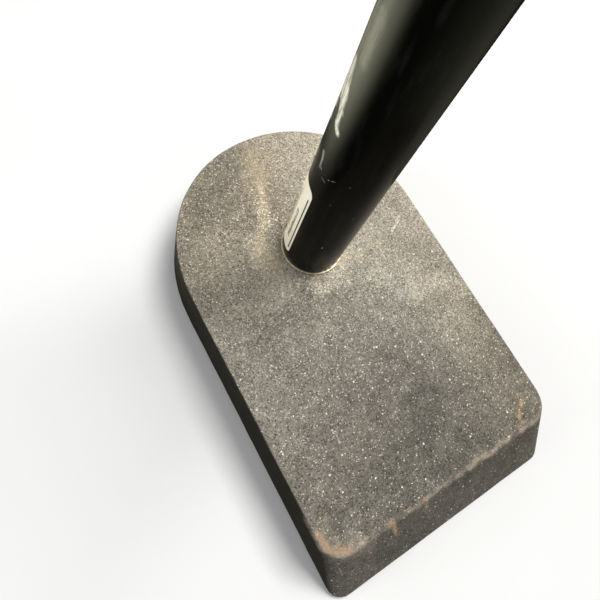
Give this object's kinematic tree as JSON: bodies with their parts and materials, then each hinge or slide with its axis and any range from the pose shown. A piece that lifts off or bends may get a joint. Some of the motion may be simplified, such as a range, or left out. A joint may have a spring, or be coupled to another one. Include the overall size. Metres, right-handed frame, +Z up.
{
  "type": "trumpet stand",
  "caption": "Heavy sloped-front cast-iron base with an upright black tube peg and a soft tip that holds a trumpet by its bell; the tube unscrews.",
  "frame": {"origin": "centre of the footprint, on the surface that the four rubber feet stand on", "axes": "+Z up along the column, +Y towards the base's round end, +X to the right with the sloped end towards the viewer"},
  "size_m": [0.1174, 0.1902, 0.2766],
  "materials": {
    "cast_base": "sand-textured black coating, grey with dust, worn to brown along the front edge",
    "rubber": "matt",
    "brass_ring": "dull, dusty",
    "black_tube": "satin black with scuffs",
    "bare_steel": "zinc plated",
    "label_paper": "matt off-white label",
    "white_nylon": "satin",
    "dark_felt": "felt"
  },
  "bodies": {
    "base": {"base_plate": "cast_base", "rubber_foot_1": "rubber", "rubber_foot_2": "rubber", "rubber_foot_3": "rubber", "rubber_foot_4": "rubber"},
    "washer": {"seat_washer": "brass_ring"},
    "column": {"column_tube": "black_tube", "column_plug": "bare_steel", "column_stud": "bare_steel", "product_label": "label_paper", "tip_insert": "white_nylon", "tip_cone": "dark_felt", "tip_washer": "bare_steel", "tip_screw": "bare_steel"}
  },
  "joints": [
    {"name": "column_lift", "type": "slide", "parent": "base", "child": "washer", "axis": [0, 0, 1], "range_m": [0, 0.014]},
    {"name": "column_turn", "type": "hinge", "parent": "washer", "child": "column", "pos_m": [0, 0.0358, 0.03], "axis": [0, 0, 1], "range_deg": [0, 2880]}
  ],
  "couplings": [
    {"joint": "column_turn", "follows": "column_lift", "rad_per_m": 3590.4}
  ]
}
